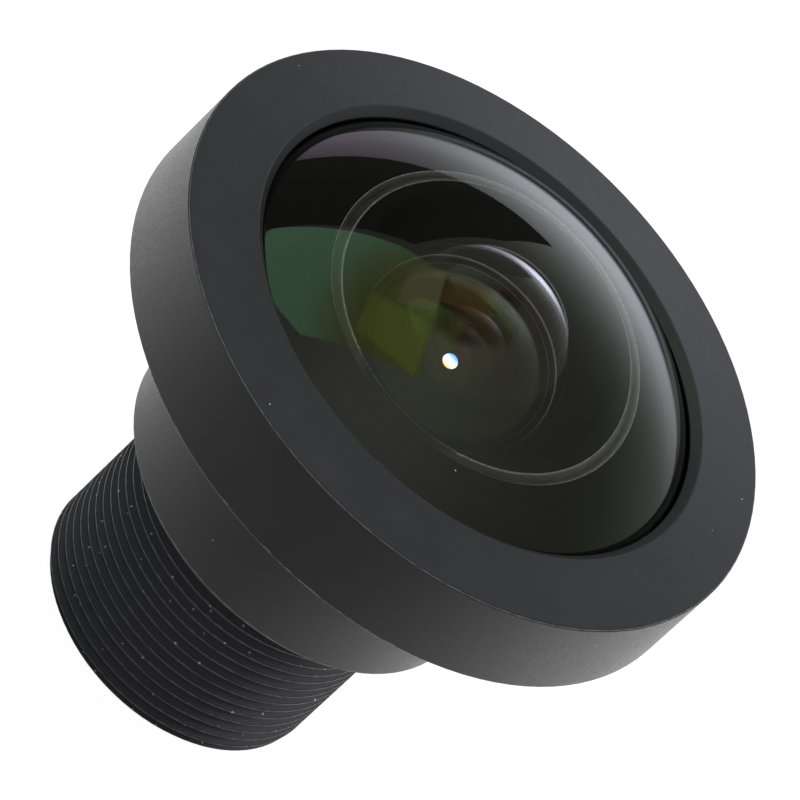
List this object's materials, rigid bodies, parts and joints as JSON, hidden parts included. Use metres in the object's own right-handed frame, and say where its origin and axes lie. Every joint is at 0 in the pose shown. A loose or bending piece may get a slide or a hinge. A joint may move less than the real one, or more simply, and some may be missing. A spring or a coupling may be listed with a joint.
{
  "type": "fisheye board camera lens",
  "caption": "Fisheye lens with a threaded shank, a plain middle, a wide front ring and a bulging glass dome, with its glass and stop inside.",
  "frame": {"origin": "centre of the rear end face, the flat end of the threaded shank", "axes": "+Z along the optical axis towards the scene; X and Y are any pair across it, X along the rear ring's two slots"},
  "size_m": [0.0252, 0.0252, 0.0234],
  "materials": {
    "anodised_black": "satin black anodised",
    "spacer_black": "matte black anodised",
    "stop_black": "matte black",
    "seal_rubber": "matte",
    "lens_glass": "polished and coated",
    "filter_glass": "polished, pale green-blue"
  },
  "bodies": {
    "barrel": {"barrel": "anodised_black", "front_seal": "seal_rubber", "front_element": "lens_glass", "second_washer": "spacer_black", "second_element": "lens_glass", "first_spacer": "spacer_black", "third_element": "lens_glass", "second_spacer": "spacer_black", "fourth_element": "lens_glass", "aperture_stop": "stop_black", "third_spacer": "spacer_black", "fifth_element": "lens_glass", "fourth_spacer": "spacer_black", "pair_crown": "lens_glass", "pair_flint": "lens_glass", "pair_sleeve": "spacer_black", "rear_element": "lens_glass", "filter_spacer": "spacer_black"},
    "front_gasket": {"front_gasket": "seal_rubber"},
    "front_ring": {"front_ring": "anodised_black"},
    "filter": {"ir_cut_filter": "filter_glass"},
    "rear_ring": {"rear_ring": "anodised_black"}
  },
  "joints": [
    {"name": "ring_lift", "type": "slide", "parent": "barrel", "child": "front_gasket", "axis": [0, 0, 1], "range_m": [0, 0.002]},
    {"name": "ring_turn", "type": "hinge", "parent": "front_gasket", "child": "front_ring", "pos_m": [0, 0, 0.0175], "axis": [0, 0, 1], "range_deg": [0, 1440]},
    {"name": "filter_slide", "type": "slide", "parent": "barrel", "child": "filter", "axis": [0, 0, -1], "range_m": [0, 0.00075]},
    {"name": "rear_ring_turn", "type": "hinge", "parent": "filter", "child": "rear_ring", "pos_m": [0, 0, 0.0013], "axis": [0, 0, -1], "range_deg": [0, 540]}
  ],
  "couplings": [
    {"joint": "ring_turn", "follows": "ring_lift", "rad_per_m": 12566},
    {"joint": "rear_ring_turn", "follows": "filter_slide", "rad_per_m": 12566}
  ]
}
